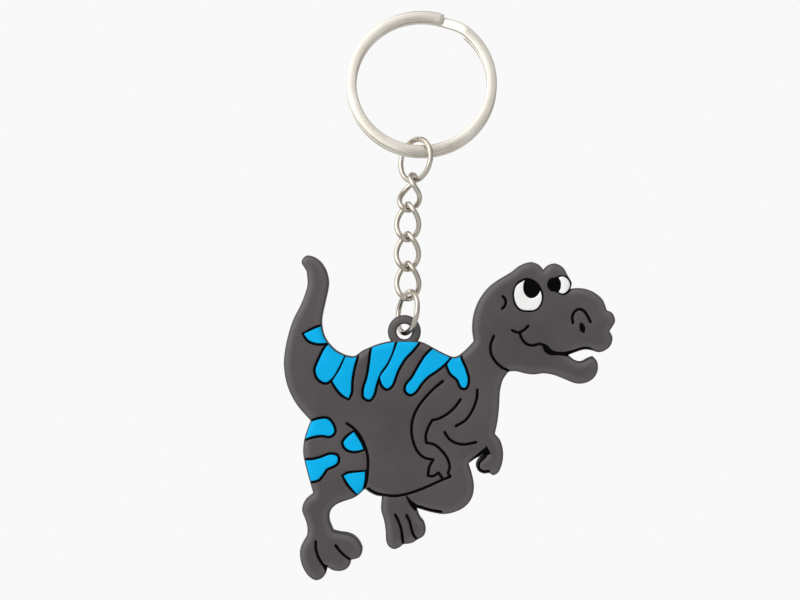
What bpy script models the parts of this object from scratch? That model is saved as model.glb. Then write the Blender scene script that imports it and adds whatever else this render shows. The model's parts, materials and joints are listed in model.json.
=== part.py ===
"""Soft-rubber dinosaur keychain: a flat moulded figure, a curb chain, two jump rings and a split ring.

It hangs in the XZ plane with its face towards -Y and +Z up. The origin is the inside top of the split
ring, where a hook or a key holds it. Lengths are in millimetres and become metres when a mesh is made.
Flat outlines of the figure are (x, z) pairs measured from the middle of its hanging hole.
"""
import math

import bmesh
import bpy
import numpy as np
from mathutils import Matrix, Vector
from mathutils.geometry import delaunay_2d_cdt

MM = 0.001

# Split ring: two stacked turns of flattened spring wire. It lies back, so its low side is nearer the front.
RING_OUTER = 14.2
RING_INNER = 12.3
COIL_DEPTH = 1.0
COIL_GAP = 0.06
COIL_SAG = 0.25
RING_END_TURN = 72.0
RING_STEP_TURN = 50.0
RING_TILT = 12.5
RING_BEVEL = 0.3
RING_STATIONS = 46
STEP_STATIONS = 6
RING_LOW_POINT_X = -1.15

# Round wire of the jump rings and links.
WIRE = 1.0
WIRE_GAP = 0.1
SEAM_GAP = 0.1
JUMP_RADIUS = 3.93
JUMP_RING_RISE = 2.23
LINK_HALF_LENGTH = 3.35
LINK_HALF_WIDTH = 2.15
RING_SEAM = 4.0
LINK_SEAM = 144.0

# Each piece of the chain from the top: its lean from the vertical, the compass turn of its wire where it
# crosses the piece above and the piece below (0 along +X, -90 towards the front), the extra room that
# its slanted crossing with the piece above needs, and how far to the right of that piece it hangs.
CHAIN = (
    ("top_jump_ring", "jump_ring", 7.0, -46.0, -46.0, 0.0, 0.0),
    ("chain_link_1", "link", 8.0, -124.0, 26.0, 0.03, 0.0),
    ("chain_link_2", "link", 1.0, -66.0, 28.0, 0.05, 0.0),
    ("chain_link_3", "link", 0.0, -64.0, 28.0, 0.05, 0.0),
    ("chain_link_4", "link", -1.0, -62.0, 24.0, 0.05, 0.0),
    ("bottom_jump_ring", "jump_ring", 8.0, -64.0, -64.0, 0.28, 0.45),
)

# The figure: a slab with a rounded front edge and a thinner hanging tab, flat at the back.
FIGURE_BACK = 1.2
FIGURE_FACE = -2.8
TAB_FACE = -1.2
TAB_RADIUS = 3.1
HOLE_RADIUS = 1.45
EDGE_ROUND = 1.2
EDGE_DROP = 0.9
TAB_ROUND = 0.5
TAB_DROP = 0.35
WIRE_IN_HOLE = (0.05, -0.3)

# Coloured fillings sit in pockets of the slab, with a little room all round.
POCKET_DEPTH = 0.8
FIT = 0.05
RIM = 0.25
LINE_RECESS = 0.1
LINE_HALF_WIDTH = 0.2
STRIPE_BORDER = 0.45

FLATNESS = 0.02

# The figure's outer edge, as curves from corner to corner, clockwise from behind the thigh.
BODY_EDGE = (
    ((-17.5, -16.6), (-20.1, -13.6), (-21.8, -10.2), (-22.5, -6.2), (-22.1, -2.4), (-20.9, 1.9),
     (-19.2, 5.4), (-18.1, 8.8), (-18.3, 11.3)),
    ((-18.3, 11.3), (-19.2, 13.1), (-18.3, 14.2), (-16.5, 13.8), (-14.9, 12.1), (-14.1, 9.3),
     (-14.7, 5.8), (-15.4, 1.8), (-14.7, -1.2), (-12.7, -3.5), (-10.9, -4.4)),
    ((-10.9, -4.4), (-9.4, -4.6), (-7.9, -3.6), (-4.8, -2.3), (-2.2, -1.75), (0.6, -1.65),
     (3.2, -1.95), (7.3, -4.0), (9.5, -4.75), (11.4, -3.5), (13.0, -1.8)),
    ((13.0, -1.8), (12.7, 0.6), (13.0, 3.3), (14.1, 6.1), (16.0, 8.5), (18.1, 10.0), (20.1, 11.2),
     (21.7, 12.4), (23.6, 13.0), (25.1, 12.5), (26.0, 11.5)),
    ((26.0, 11.5), (26.8, 12.35), (28.1, 12.75), (29.6, 12.0), (30.5, 10.5), (31.25, 9.1), (31.0, 8.0)),
    ((31.0, 8.0), (32.2, 8.15), (33.8, 8.0), (35.5, 7.3), (37.0, 6.0), (37.8, 4.0)),
    ((37.8, 4.0), (38.8, 3.5), (39.35, 2.0), (38.3, 0.1)),
    ((38.3, 0.1), (38.85, -1.0), (38.6, -2.4), (37.8, -3.3), (36.4, -3.85), (35.0, -3.5), (33.7, -3.35),
     (32.0, -3.8), (30.6, -4.35)),
    ((30.6, -4.35), (31.7, -5.2), (33.1, -5.55), (34.2, -5.0), (35.2, -4.6)),
    ((35.2, -4.6), (36.0, -5.6), (36.1, -7.2), (35.4, -8.6), (34.0, -9.5), (32.2, -9.7), (30.2, -9.0),
     (27.9, -8.1), (26.0, -7.8), (24.0, -8.0), (22.0, -7.7), (20.9, -7.4), (19.5, -7.5)),
    ((19.5, -7.5), (18.5, -8.8), (17.9, -10.9), (17.7, -14.0), (17.4, -16.7), (16.9, -19.1)),
    ((16.9, -19.1), (17.9, -20.3), (18.45, -22.5), (18.2, -24.8), (17.5, -26.3), (16.6, -26.8),
     (15.8, -26.4)),
    ((15.8, -26.4), (14.9, -26.5), (13.8, -26.0), (13.4, -25.0), (13.8, -23.9), (14.8, -23.1)),
    ((14.8, -23.1), (13.4, -23.6), (12.0, -24.6)),
    ((12.0, -24.6), (12.6, -26.5), (13.0, -28.9), (12.6, -31.0), (11.4, -32.6), (9.6, -33.6),
     (7.4, -34.05), (5.0, -33.7), (2.3, -32.9)),
    ((2.3, -32.9), (2.9, -34.5), (3.7, -35.6), (4.0, -36.9), (3.6, -38.1), (2.4, -38.85)),
    ((2.4, -38.85), (1.5, -39.4), (0.7, -39.6), (-0.2, -39.7)),
    ((-0.2, -39.7), (-1.0, -40.3), (-1.9, -40.6), (-2.9, -40.1), (-3.4, -39.0), (-3.5, -37.2),
     (-3.8, -35.2), (-4.35, -33.2), (-4.2, -30.75)),
    ((-4.2, -30.75), (-5.2, -30.6), (-6.3, -30.1), (-7.35, -29.35)),
    ((-7.35, -29.35), (-8.2, -30.15), (-9.4, -31.0), (-11.4, -31.7), (-12.9, -32.4), (-13.8, -33.5),
     (-14.0, -35.1), (-13.2, -37.2)),
    ((-13.2, -37.2), (-11.9, -37.5), (-10.5, -37.7), (-9.2, -38.3), (-8.2, -39.5), (-7.8, -40.8),
     (-8.4, -42.1), (-9.9, -42.6)),
    ((-9.9, -42.6), (-10.2, -43.6), (-11.0, -44.4), (-12.2, -44.7), (-13.4, -44.5), (-14.3, -44.0)),
    ((-14.3, -44.0), (-14.7, -45.2), (-15.5, -46.1), (-16.6, -46.4), (-17.9, -45.6), (-18.9, -44.1),
     (-19.45, -42.2), (-19.4, -40.4), (-18.2, -38.0)),
    ((-18.2, -38.0), (-18.1, -36.6), (-18.5, -35.0), (-19.1, -33.3), (-18.6, -31.6), (-17.0, -30.2)),
    ((-17.0, -30.2), (-17.7, -27.8), (-18.4, -25.2), (-18.9, -22.6), (-18.75, -20.4), (-18.2, -18.4),
     (-17.5, -16.6)),
)

# Stripes that reach the edge run past it here and are trimmed to leave the rim.
STRIPES = {
    "tail_stripe_upper": (
        ((-14.4, 1.35), (-16.4, 0.65), (-18.7, -0.4)),
        ((-18.7, -0.4), (-17.8, -1.55), (-16.3, -2.1), (-14.7, -2.05), (-13.2, -1.6)),
        ((-13.2, -1.6), (-14.4, 1.35)),
    ),
    "tail_stripe_middle": (
        ((-13.4, -1.7), (-14.6, -2.9), (-15.8, -5.2), (-16.5, -7.2), (-15.9, -8.8), (-14.6, -9.4),
         (-13.3, -8.4), (-12.2, -6.5), (-11.4, -4.9), (-10.9, -3.2)),
        ((-10.9, -3.2), (-13.4, -1.7)),
    ),
    "tail_stripe_lower": (
        ((-10.5, -3.3), (-11.1, -5.0), (-12.0, -7.0), (-13.4, -9.2)),
        ((-13.4, -9.2), (-12.5, -10.6), (-11.5, -11.7), (-10.4, -12.4)),
        ((-10.4, -12.4), (-10.0, -11.2), (-9.9, -9.2), (-9.5, -6.8), (-9.0, -4.9), (-8.7, -3.2)),
        ((-8.7, -3.2), (-10.5, -3.3)),
    ),
    "back_stripe_1": (
        ((-5.7, -1.6), (-6.1, -3.6), (-6.4, -6.0), (-6.8, -8.4), (-7.5, -10.8), (-7.4, -12.2),
         (-6.5, -12.6), (-5.8, -11.7), (-5.3, -9.8), (-4.5, -7.7), (-3.2, -5.8), (-2.3, -3.8), (-1.5, -0.8)),
        ((-1.5, -0.8), (-5.7, -1.6)),
    ),
    "back_stripe_2": (
        ((-0.9, -0.6), (-1.3, -2.1), (-2.1, -4.3), (-3.1, -6.4), (-4.5, -8.5)),
        ((-4.5, -8.5), (-4.1, -9.8), (-3.3, -10.55), (-2.5, -10.1), (-1.3, -7.2), (0.0, -5.0),
         (1.5, -3.4), (2.6, -2.0), (3.3, -0.8)),
        ((3.3, -0.8), (-0.9, -0.6)),
    ),
    "back_stripe_3": (
        ((6.6, -1.9), (5.4, -3.1), (3.9, -4.7), (2.6, -6.8), (1.5, -8.7), (0.4, -10.1), (0.4, -11.1),
         (1.2, -11.6), (2.1, -11.0), (3.0, -9.7), (4.3, -8.3), (5.9, -7.2), (7.4, -6.0), (8.5, -4.7),
         (9.2, -3.2)),
        ((9.2, -3.2), (6.6, -1.9)),
    ),
    "back_stripe_4": (
        ((9.6, -3.5), (8.9, -4.9), (8.0, -6.1)),
        ((8.0, -6.1), (8.7, -7.7), (10.0, -8.9), (10.7, -10.3), (11.35, -10.4), (11.8, -9.2),
         (11.3, -7.0), (10.5, -5.2), (10.1, -3.5)),
        ((10.1, -3.5), (9.6, -3.5)),
    ),
    "hip_stripe": (
        ((-19.0, -17.6), (-17.6, -16.9), (-16.1, -16.4), (-14.4, -16.3), (-13.5, -17.2), (-13.1, -18.6),
         (-13.8, -19.35), (-15.4, -19.2), (-16.9, -19.4), (-18.2, -19.8), (-19.8, -20.5)),
        ((-19.8, -20.5), (-19.0, -17.6)),
    ),
    "thigh_stripe_upper": (
        ((-9.4, -18.7), (-10.5, -19.6), (-11.3, -20.7), (-10.7, -21.8), (-9.3, -22.2), (-7.65, -21.9)),
        ((-7.65, -21.9), (-8.2, -20.6), (-9.4, -18.7)),
    ),
    "shin_stripe": (
        ((-20.0, -23.9), (-18.3, -24.0), (-16.8, -23.9), (-15.4, -23.5), (-13.8, -22.95), (-12.6, -23.2),
         (-12.5, -24.3), (-13.4, -25.0), (-14.5, -25.5), (-15.3, -26.6), (-16.1, -27.5), (-17.4, -27.8),
         (-19.2, -28.0)),
        ((-19.2, -28.0), (-20.0, -23.9)),
    ),
    "thigh_stripe_lower": (
        ((-11.3, -26.9), (-10.5, -26.5), (-8.9, -26.3), (-7.35, -26.1)),
        ((-7.35, -26.1), (-7.4, -27.5), (-7.7, -28.9), (-8.0, -31.2)),
        ((-8.0, -31.2), (-9.1, -29.9), (-10.3, -28.5), (-11.3, -26.9)),
    ),
}

# Dark borders: which stripes each one goes round.
BORDERS = {
    "tail_border": ("tail_stripe_upper", "tail_stripe_middle", "tail_stripe_lower"),
    "back_left_border": ("back_stripe_1", "back_stripe_2"),
    "back_right_border": ("back_stripe_3", "back_stripe_4"),
    "hip_border": ("hip_stripe",),
    "shin_border": ("shin_stripe",),
    "thigh_border": ("thigh_stripe_upper", "thigh_stripe_lower"),
}

# Dark drawn lines, as curves that join end to end where a line has a corner.
LINES = {
    "ear_crease": (((18.35, 6.6), (18.8, 6.05), (18.9, 5.45), (18.75, 4.85), (18.25, 4.3)),),
    "nostril_arch": (((31.45, 1.6), (31.3, 2.7), (31.8, 3.8), (32.6, 4.2), (33.4, 3.9), (34.1, 3.0),
                      (34.7, 1.8)),),
    "mouth_line": (
        ((20.1, 0.25), (21.2, -0.15), (22.3, 0.3), (23.1, 1.1)),
        ((21.5, -0.2), (21.9, -1.3), (22.8, -2.3), (24.0, -2.55), (25.2, -2.3), (26.3, -2.6)),
    ),
    "jaw_line": (((16.7, -0.8), (16.15, -2.2), (16.1, -3.8), (16.8, -5.3), (18.1, -6.6), (19.5, -7.3)),),
    "upper_chest_fold": (((13.6, -10.8), (13.5, -12.4), (12.8, -14.4), (11.5, -16.4), (9.6, -17.6)),),
    "lower_chest_fold": (((7.5, -18.7), (8.3, -19.9), (9.5, -20.7), (11.1, -21.0), (13.4, -20.6)),),
    "arm_and_belly_line": (
        ((7.2, -9.2), (5.4, -10.7), (3.7, -12.5), (2.3, -14.5), (1.5, -16.6), (1.35, -18.7),
         (1.8, -20.9), (2.6, -22.5), (3.8, -23.5), (5.4, -23.85)),
        ((5.4, -23.85), (4.7, -25.1), (4.4, -26.8)),
        ((4.4, -26.8), (5.3, -26.95), (6.4, -26.3)),
        ((6.4, -26.3), (7.2, -27.5)),
        ((10.5, -12.6), (9.3, -14.2), (7.9, -15.4), (6.4, -16.2), (5.2, -16.5)),
        ((5.2, -16.5), (4.4, -18.0), (4.0, -19.4), (4.1, -20.7)),
        ((4.1, -20.7), (5.5, -21.0), (7.0, -22.2), (8.1, -23.8), (8.45, -25.3), (8.2, -26.4), (8.6, -27.0)),
        ((8.6, -27.0), (7.2, -27.55), (5.2, -28.45), (3.0, -29.4), (0.4, -30.25), (-1.9, -30.6),
         (-4.0, -30.35), (-5.5, -29.95), (-6.75, -29.2)),
        ((2.5, -32.5), (3.8, -32.88), (5.15, -33.25), (6.9, -33.55)),
    ),
    "thigh_line": (((-10.7, -17.1), (-9.3, -18.1), (-8.2, -19.5), (-7.3, -21.4), (-6.8, -23.4),
                    (-6.8, -25.6), (-7.0, -27.6), (-7.3, -28.8)),),
    "far_hand_shadow": (
        ((15.1, -21.9), (13.9, -22.9), (12.4, -24.1)),
        ((15.2, -23.2), (14.5, -23.85), (14.0, -24.4), (13.84, -25.0), (14.1, -25.7), (14.9, -26.05),
         (15.75, -25.95)),
    ),
    "far_toe_line_left": (((-1.7, -34.1), (-1.1, -35.3), (-0.6, -36.7), (-0.4, -38.2), (-0.25, -39.3)),),
    "far_toe_line_right": (((0.4, -34.2), (1.0, -35.4), (1.4, -37.0), (1.8, -38.0), (2.3, -38.6)),),
    "near_toe_line_left": (((-16.5, -39.1), (-16.5, -40.3), (-16.1, -41.8), (-15.4, -43.1),
                            (-14.7, -43.9)),),
    "near_toe_line_right": (((-12.8, -39.8), (-11.9, -41.0), (-10.9, -41.9), (-10.2, -42.35)),),
}

# Dark filled patches that belong to a line of the same name.
PATCHES = {
    "mouth_line": (
        ((25.7, -2.35), (26.6, -2.6), (27.5, -3.45), (28.8, -3.8), (30.3, -3.7), (31.8, -3.3),
         (33.3, -2.85), (34.4, -2.9), (35.3, -3.3)),
        ((35.3, -3.3), (34.4, -3.55), (33.5, -3.5), (32.0, -3.95), (30.7, -4.6)),
        ((30.7, -4.6), (28.8, -4.35), (27.2, -4.3), (26.2, -3.7), (25.7, -2.35)),
    ),
    "arm_and_belly_line": (
        ((0.1, -30.2), (1.4, -31.6), (3.2, -32.7)),
        ((3.2, -32.7), (2.0, -33.4)),
        ((2.0, -33.4), (1.1, -32.3), (0.1, -30.2)),
    ),
    "far_hand_shadow": (
        ((15.3, -21.3), (16.1, -22.7)),
        ((16.1, -22.7), (15.0, -23.3)),
        ((15.0, -23.3), (14.4, -22.6)),
        ((14.4, -22.6), (15.3, -21.3)),
    ),
    "near_toe_line_left": (
        ((-15.5, -43.0), (-14.3, -43.6)),
        ((-14.3, -43.6), (-14.7, -44.9)),
        ((-14.7, -44.9), (-15.5, -43.0)),
    ),
}

NOSTRIL = (
    ((32.85, 1.75), (33.4, 1.3), (33.7, 0.55), (33.5, -0.25)),
    ((33.5, -0.25), (32.9, 0.1), (32.7, 0.9), (32.85, 1.75)),
)

# Eyes: a dark shape with a white crescent let into it, round the pupil.
LEFT_EYE = (((20.2, 7.0), (20.9, 9.0), (22.8, 9.95), (24.7, 9.2), (25.85, 7.1), (25.65, 5.2),
             (24.7, 4.0), (23.1, 3.7), (21.5, 4.0), (20.55, 5.1), (20.2, 7.0)),)
LEFT_WHITE = (
    ((22.45, 9.6), (20.95, 8.6), (20.47, 6.95), (20.85, 5.2), (21.7, 4.25), (23.1, 3.98), (24.55, 4.25),
     (25.38, 5.3), (25.62, 6.6), (25.35, 7.65)),
    ((25.35, 7.65), (24.95, 6.95), (24.35, 6.42), (23.6, 6.25), (22.85, 6.55), (22.35, 7.25), (22.15, 8.1),
     (22.2, 8.9), (22.45, 9.6)),
)
RIGHT_EYE = (
    ((28.2, 10.1), (29.4, 10.5), (30.6, 10.0), (31.2, 8.8), (30.8, 7.5), (29.6, 6.85), (28.3, 7.4),
     (27.2, 7.7), (26.65, 8.8), (27.2, 9.85), (28.2, 10.1)),
)
RIGHT_WHITE = (
    ((28.75, 10.1), (29.5, 10.28), (30.45, 9.7), (30.85, 8.75), (30.5, 7.8), (29.6, 7.12), (28.75, 7.35)),
    ((28.75, 7.35), (29.1, 8.0), (29.2, 8.75), (29.1, 9.45), (28.75, 10.1)),
)

COLOURS = {
    "nickel": ((0.62, 0.60, 0.56), 0.25, 1.0),
    "grey_rubber": ((0.10, 0.09, 0.09), 0.55, 0.0),
    "blue_rubber": ((0.01, 0.36, 0.72), 0.5, 0.0),
    "black_rubber": ((0.006, 0.005, 0.006), 0.5, 0.0),
    "white_rubber": ((0.85, 0.85, 0.83), 0.5, 0.0),
}


# ---------------------------------------------------------------- flat curves

def smooth_run(knots, step=0.2):
    """Points on a centripetal Catmull-Rom curve through the knots of one run."""
    if len(knots) == 2:
        return [Vector(knots[0]), Vector(knots[1])]
    points = [Vector(knot) for knot in knots]
    points = [2 * points[0] - points[1]] + points + [2 * points[-1] - points[-2]]
    curve = []
    for p0, p1, p2, p3 in zip(points, points[1:], points[2:], points[3:]):
        t1 = math.sqrt((p1 - p0).length)
        t2 = t1 + math.sqrt((p2 - p1).length)
        t3 = t2 + math.sqrt((p3 - p2).length)
        count = max(2, round((p2 - p1).length / step))
        for index in range(count):
            t = t1 + (t2 - t1) * index / count
            a1 = p0.lerp(p1, t / t1)
            a2 = p1.lerp(p2, (t - t1) / (t2 - t1))
            a3 = p2.lerp(p3, (t - t2) / (t3 - t2))
            b1 = a1.lerp(a2, t / t2)
            b2 = a2.lerp(a3, (t - t1) / (t3 - t1))
            curve.append(b1.lerp(b2, (t - t1) / (t2 - t1)))
    curve.append(points[-2])
    return curve


def thin(curve, flatness=FLATNESS):
    """The fewest points of an open curve that stay within the flatness of it."""
    start, end = curve[0], curve[-1]
    chord = end - start
    if chord.length > 1e-9:
        offsets = [abs(chord.cross(point - start)) / chord.length for point in curve]
    else:
        offsets = [(point - start).length for point in curve]
    worst = max(range(len(curve)), key=lambda index: offsets[index])
    if offsets[worst] <= flatness:
        return [start, end]
    return thin(curve[:worst + 1], flatness)[:-1] + thin(curve[worst:], flatness)


def outline(runs):
    """A closed loop, as an array of points, from runs that each start where the last one ends."""
    loop = []
    for run in runs:
        loop.extend(thin(smooth_run(run))[:-1])
    return np.array([tuple(point) for point in loop])


def circle(centre, radius, count):
    turns = np.arange(count) * 2 * math.pi / count
    return np.stack([centre[0] + radius * np.cos(turns), centre[1] + radius * np.sin(turns)], axis=1)


def ribbon(knots, half_width):
    """A closed loop with round ends round a drawn line."""
    line = thin(smooth_run(knots))
    sides = ([], [])
    for index, point in enumerate(line):
        before = line[max(index - 1, 0)]
        after = line[min(index + 1, len(line) - 1)]
        across = (after - before).normalized().orthogonal() * half_width
        sides[0].append(point + across)
        sides[1].append(point - across)
    loop = []
    ends = ((sides[0], line[-1], line[-2]), (sides[1][::-1], line[0], line[1]))
    for side, end, inner in ends:
        loop.extend(side)
        ahead = (end - inner).normalized() * half_width
        across = side[-1] - end
        for turn in (45, 90, 135):
            angle = math.radians(turn)
            loop.append(end + across * math.cos(angle) + ahead * math.sin(angle))
    return np.array([tuple(point) for point in loop])


def distance_to(loop, points):
    """Each point's distance to the nearest side of a closed loop."""
    start = loop[None, :, :]
    side = (np.roll(loop, -1, axis=0) - loop)[None, :, :]
    reach = points[:, None, :] - start
    length = np.maximum((side ** 2).sum(axis=2), 1e-12)
    along = np.clip((reach * side).sum(axis=2) / length, 0, 1)
    return np.sqrt(((reach - along[..., None] * side) ** 2).sum(axis=2)).min(axis=1)


def winding_inside(loop, points):
    """Whether each point is inside a closed loop, which may cross itself."""
    x, z = points[:, 0:1], points[:, 1:2]
    ax, az = loop[:, 0][None], loop[:, 1][None]
    bx, bz = np.roll(loop[:, 0], -1)[None], np.roll(loop[:, 1], -1)[None]
    side = (bx - ax) * (z - az) - (x - ax) * (bz - az)
    up = (az <= z) & (bz > z) & (side > 0)
    down = (az > z) & (bz <= z) & (side < 0)
    return (up.sum(axis=1) - down.sum(axis=1)) != 0


def offset(loop, distance):
    """The loop moved outwards by a distance, or inwards if it is negative."""
    ahead = np.roll(loop, -1, axis=0) - loop
    ahead /= np.maximum(np.linalg.norm(ahead, axis=1, keepdims=True), 1e-9)
    tangent = ahead + np.roll(ahead, 1, axis=0)
    tangent /= np.maximum(np.linalg.norm(tangent, axis=1, keepdims=True), 1e-9)
    area = (loop[:, 0] * np.roll(loop[:, 1], -1) - np.roll(loop[:, 0], -1) * loop[:, 1]).sum()
    outward = np.stack([tangent[:, 1], -tangent[:, 0]], axis=1) * (1 if area > 0 else -1)
    moved = loop + outward * distance
    keep = distance_to(loop, moved) > abs(distance) * 0.97
    return moved[keep]


class Area:
    """A flat area bounded by loops; areas join with |, meet with & and are cut with -."""

    def __init__(self, loops, test):
        self.loops = loops
        self.test = test

    def __or__(self, other):
        return Area(self.loops + other.loops, lambda p: self.test(p) | other.test(p))

    def __and__(self, other):
        return Area(self.loops + other.loops, lambda p: self.test(p) & other.test(p))

    def __sub__(self, other):
        return Area(self.loops + other.loops, lambda p: self.test(p) & ~other.test(p))


def area(loop):
    return Area([loop], lambda points: winding_inside(loop, points))


def join(areas):
    areas = list(areas)
    whole = areas[0]
    for other in areas[1:]:
        whole = whole | other
    return whole


# ---------------------------------------------------------------- solids

def triangulate(loops, extra):
    points, edges = [], []
    for loop in loops:
        first = len(points)
        points.extend(Vector((float(x), float(z))) for x, z in loop)
        edges.extend((first + i, first + (i + 1) % len(loop)) for i in range(len(loop)))
    points.extend(Vector((float(x), float(z))) for x, z in extra)
    corners, _, faces, _, _, _ = delaunay_2d_cdt(points, edges, [], 0, 1e-5)
    return np.array([tuple(corner) for corner in corners]), [tuple(face) for face in faces]


def flat_back(corners, rim):
    """Triangles that fill the rim, which is a set of sides with the material on their left."""
    used = sorted({corner for side in rim for corner in side})
    place = {corner: index for index, corner in enumerate(used)}
    points = [Vector((float(corners[corner][0]), float(corners[corner][1]))) for corner in used]
    edges = [(place[first], place[second]) for first, second in rim]
    _, _, faces, origins, _, _ = delaunay_2d_cdt(points, edges, [], 0, 1e-5)
    faces = [tuple(used[origins[corner][0]] for corner in face) for face in faces]
    beside = {side: index for index, face in enumerate(faces) for side in zip(face, face[1:] + face[:1])}
    barrier = set(rim) | {(second, first) for first, second in rim}
    waiting = [beside[side] for side in rim]
    filled = set(waiting)
    while waiting:
        face = faces[waiting.pop()]
        for first, second in zip(face, face[1:] + face[:1]):
            beyond = beside.get((second, first))
            if (first, second) not in barrier and beyond is not None and beyond not in filled:
                filled.add(beyond)
                waiting.append(beyond)
    return [faces[index] for index in sorted(filled)]


def relief(name, layers, back, extra=()):
    """One closed solid with a flat back. Each layer is an area and its height function, first one wins."""
    corners, faces = triangulate([loop for part, _ in layers for loop in part.loops], extra)
    middles = np.array([corners[list(face)].mean(axis=0) for face in faces])
    label = np.full(len(faces), -1)
    for number, (part, _) in reversed(list(enumerate(layers))):
        label[part.test(middles)] = number
    heights = [function(corners) for _, function in layers] + [np.full(len(corners), back)]

    mesh = bmesh.new()
    made = {}

    def vertex(corner, height):
        key = (corner, round(float(height), 6))
        if key not in made:
            x, z = corners[corner]
            made[key] = mesh.verts.new((x * MM, height * MM, z * MM))
        return made[key]

    sides = {}
    levels = {}
    for face, number in zip(faces, label):
        if number < 0:
            continue
        mesh.faces.new([vertex(corner, heights[number][corner]) for corner in face])
        for first, second in zip(face, face[1:] + face[:1]):
            sides[(first, second)] = number
            levels.setdefault(first, {back}).add(round(float(heights[number][first]), 6))

    def column(corner, upper, lower):
        """Heights at a corner from the upper end of a wall to its lower end, both included."""
        between = [level for level in levels[corner] if upper + 1e-6 < level < lower - 1e-6]
        return [upper] + sorted(between) + [lower]

    rim = []
    for (first, second), number in sides.items():
        beyond = sides.get((second, first), -1)
        if beyond == -1:
            rim.append((first, second))
        if beyond == number:
            continue
        upper = [round(float(heights[number][corner]), 6) for corner in (first, second)]
        lower = [round(float(heights[beyond][corner]), 6) for corner in (first, second)]
        if sum(lower) <= sum(upper):
            continue
        wall = [vertex(first, level) for level in column(first, upper[0], lower[0])]
        wall += [vertex(second, level) for level in reversed(column(second, upper[1], lower[1]))]
        wall = list(dict.fromkeys(reversed(wall)))
        if len(wall) > 2:
            wall.reverse()
            mesh.faces.new(wall)

    for face in flat_back(corners, rim):
        mesh.faces.new([vertex(corner, back) for corner in reversed(face)])
    return finish_mesh(name, mesh, smooth=False)


def finish_mesh(name, mesh, smooth=True):
    bmesh.ops.recalc_face_normals(mesh, faces=mesh.faces[:])
    data = bpy.data.meshes.new(name)
    mesh.to_mesh(data)
    mesh.free()
    if smooth:
        data.shade_smooth()
        data.set_sharp_from_angle(angle=math.radians(40))
    piece = bpy.data.objects.new(name, data)
    bpy.context.scene.collection.objects.link(piece)
    return piece


def sweep(name, frames, section):
    """A solid along a path. Each frame is (point, across, up); the section is (across, up) pairs."""
    mesh = bmesh.new()
    rings = []
    for point, across, up in frames:
        rings.append([mesh.verts.new((point + across * u + up * v) * MM) for u, v in section])
    for ring, following in zip(rings, rings[1:]):
        for index in range(len(section)):
            after = (index + 1) % len(section)
            mesh.faces.new((ring[index], ring[after], following[after], following[index]))
    mesh.faces.new(rings[0])
    mesh.faces.new(reversed(rings[-1]))
    return finish_mesh(name, mesh)


def wire_frames(points):
    """Frames along an open wire, carried forward without twisting."""
    frames = []
    across = None
    for index, point in enumerate(points):
        ahead = (points[min(index + 1, len(points) - 1)] - points[max(index - 1, 0)]).normalized()
        if across is None:
            across = ahead.orthogonal().normalized()
        across = (across - ahead * across.dot(ahead)).normalized()
        frames.append((point, across, ahead.cross(across)))
    return frames


def wire(name, points, sides=8):
    turns = [(index + 0.5) * 2 * math.pi / sides for index in range(sides)]
    section = [(WIRE / 2 * math.cos(turn), WIRE / 2 * math.sin(turn)) for turn in turns]
    return sweep(name, wire_frames(points), section)


# ---------------------------------------------------------------- metal pieces

def split_ring():
    """Flat wire that goes round once in front, steps back past its own end, and round once behind."""
    middle = (RING_OUTER + RING_INNER) / 2
    half_width = (RING_OUTER - RING_INNER) / 2
    half_depth = COIL_DEPTH / 2
    centre = Vector((0, 0, -RING_INNER))
    front = -(COIL_DEPTH + COIL_GAP) / 2
    tilt = Matrix.Rotation(-math.radians(RING_TILT), 3, "X")
    step = RING_END_TURN - RING_STEP_TURN
    lap = 360 - step
    stations = [lap * k / RING_STATIONS for k in range(RING_STATIONS + 1)]
    stations += [lap + step * k / STEP_STATIONS for k in range(1, STEP_STATIONS)]
    stations += [lap + step + lap * k / RING_STATIONS for k in range(RING_STATIONS + 1)]
    frames = []
    for station in stations:
        turn = math.radians(RING_END_TURN + station)
        outward = Vector((math.cos(turn), 0, math.sin(turn)))
        share = min(max((station - lap) / step, 0), 1)
        ease = share * share * (3 - 2 * share)
        point = centre + outward * middle + Vector((0, front * (1 - 2 * ease), -COIL_SAG * ease))
        frames.append((tilt @ point, tilt @ outward, tilt @ Vector((0, 1, 0))))
    wide, deep, bevel = half_width, half_depth, RING_BEVEL
    section = [
        (-wide, -deep + bevel), (-wide + bevel, -deep), (wide - bevel, -deep), (wide, -deep + bevel),
        (wide, deep - bevel), (wide - bevel, deep), (-wide + bevel, deep), (-wide, deep - bevel),
    ]
    return sweep("split_ring", frames, section)


def ring_low_point():
    """The middle of the split ring's wire where the chain hangs from it."""
    reach = (RING_OUTER + 3 * RING_INNER) / 2
    lean = math.radians(RING_TILT)
    return Vector((RING_LOW_POINT_X, -reach * math.sin(lean), -reach * math.cos(lean)))


def compass(turn):
    return Vector((math.cos(math.radians(turn)), math.sin(math.radians(turn)), 0))


def loop_points(centre, axis, half_length, half_width, top_turn, bottom_turn, seam, count):
    """An oval of wire, twisted about its long axis, open at its seam."""
    gap = math.degrees(SEAM_GAP / 2 / half_length)
    points = []
    for index in range(count + 1):
        turn = math.radians(seam + gap + (360 - 2 * gap) * index / count)
        height = half_length * math.cos(turn)
        share = (1 + math.cos(turn)) / 2
        sideways = compass(bottom_turn + (top_turn - bottom_turn) * share)
        points.append(centre + axis * height + sideways * half_width * math.sin(turn))
    return points


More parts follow.
